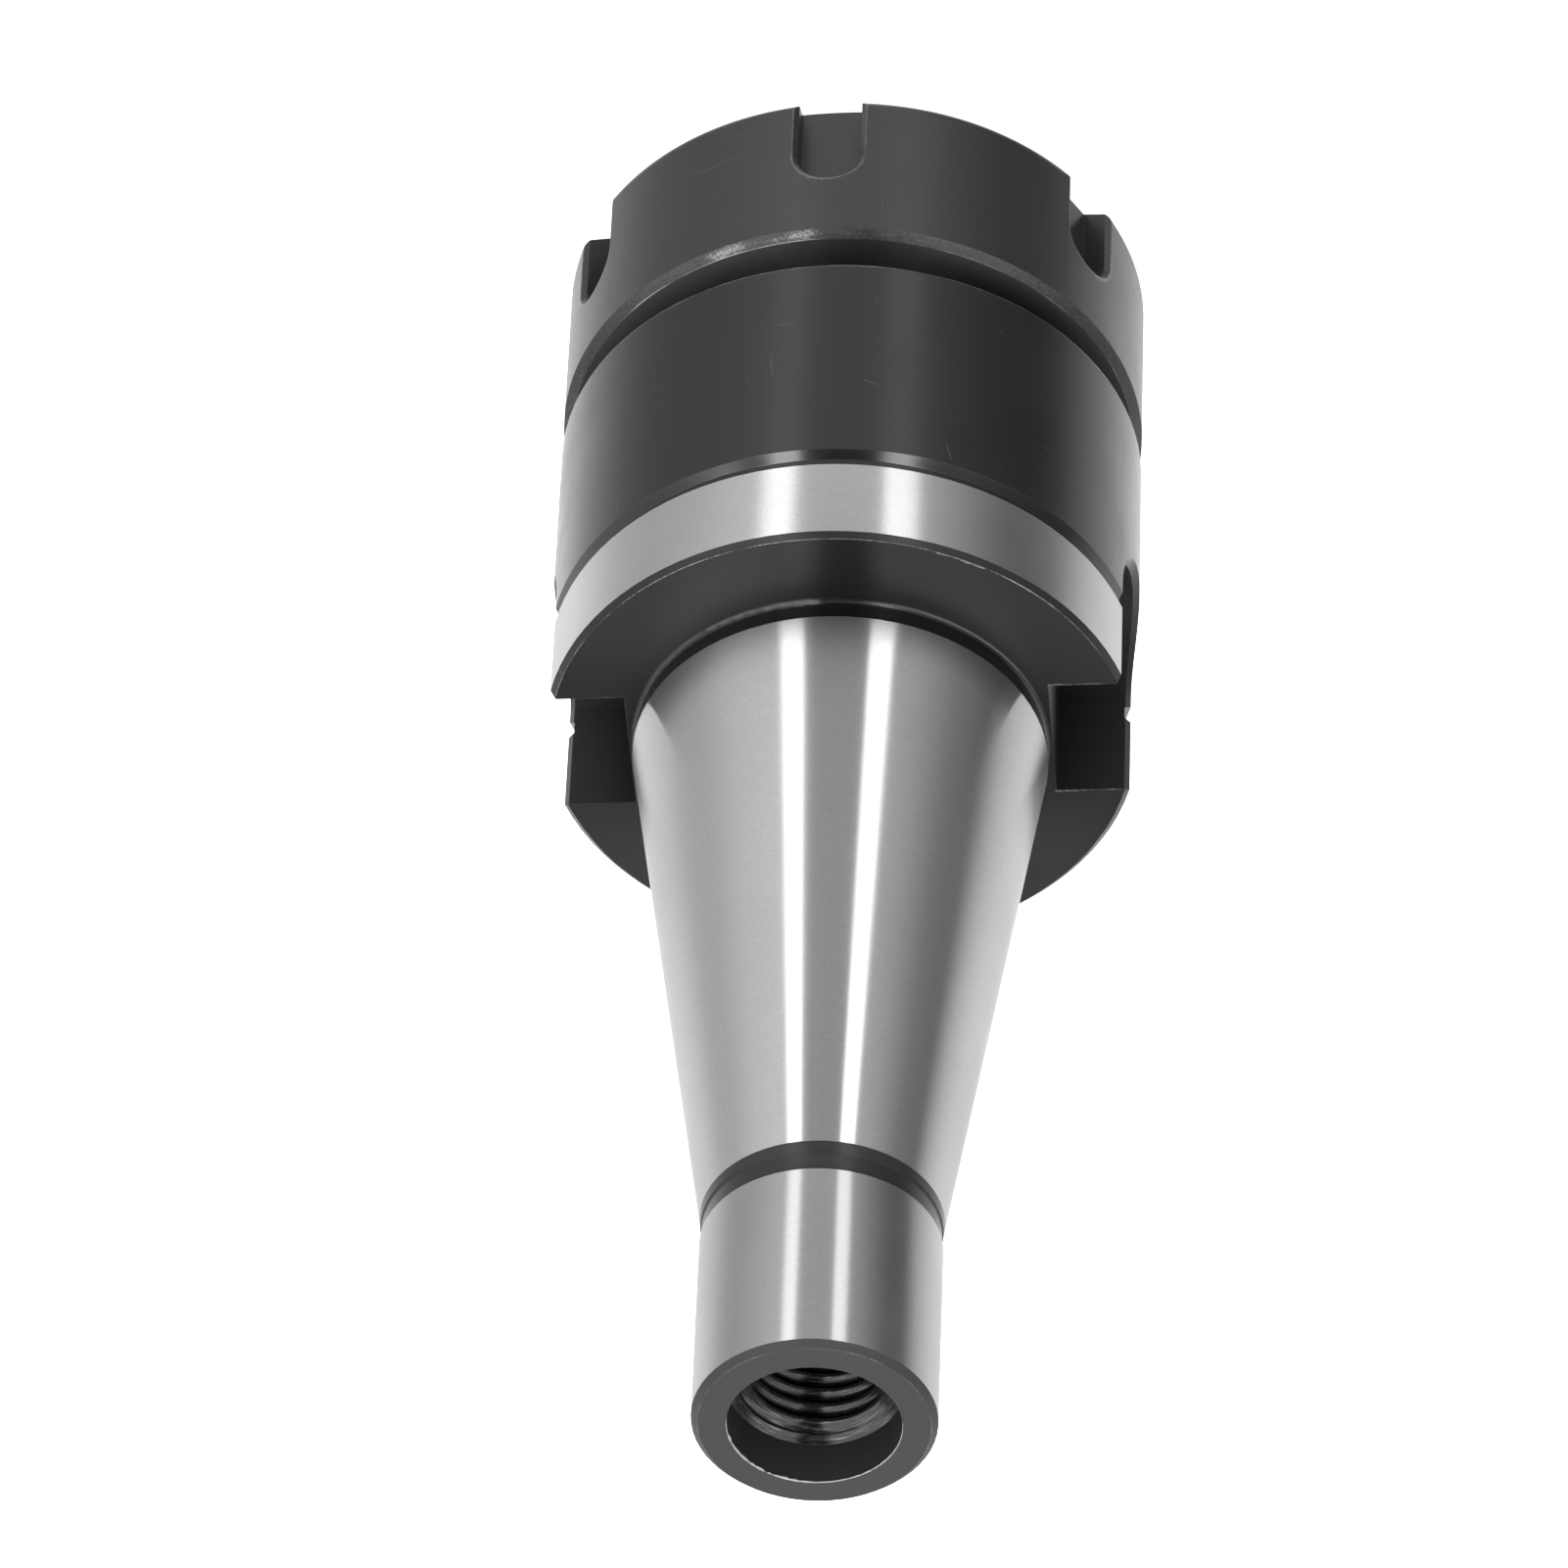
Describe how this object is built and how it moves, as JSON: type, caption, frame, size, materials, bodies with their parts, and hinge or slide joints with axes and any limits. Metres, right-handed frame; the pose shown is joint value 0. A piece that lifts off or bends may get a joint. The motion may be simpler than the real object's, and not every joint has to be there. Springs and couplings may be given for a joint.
{
  "type": "collet chuck holder",
  "caption": "Milling collet chuck with a steep 7:24 taper shank, draw-bar thread, drive slots, a slotted clamping nut and a slit spring collet.",
  "frame": {"origin": "centre of the clamping nut's front face, which the chuck stands on", "axes": "+Z along the common axis from the nut to the draw-bar end of the shank, X through the two drive slots"},
  "size_m": [0.063, 0.063, 0.1663],
  "materials": {
    "holder_steel": "ground bright on the taper, pilot and flange rim, black oxide elsewhere",
    "collet_steel": "fine ground spring steel",
    "nut_steel": "black oxide, worn on its edges"
  },
  "bodies": {
    "holder": {"holder_body": "holder_steel"},
    "collet": {"collet": "collet_steel"},
    "nut": {"clamping_nut": "nut_steel"}
  },
  "joints": [
    {"name": "collet_draw", "type": "slide", "parent": "holder", "child": "collet", "axis": [0, 0, -1], "range_m": [0, 0.0092]},
    {"name": "nut_turn", "type": "hinge", "parent": "collet", "child": "nut", "pos_m": [0, 0, 0.013], "axis": [0, 0, -1], "range_deg": [0, 2160]}
  ],
  "couplings": [
    {"joint": "collet_draw", "follows": "nut_turn", "m_per_rad": 0.00023873}
  ]
}
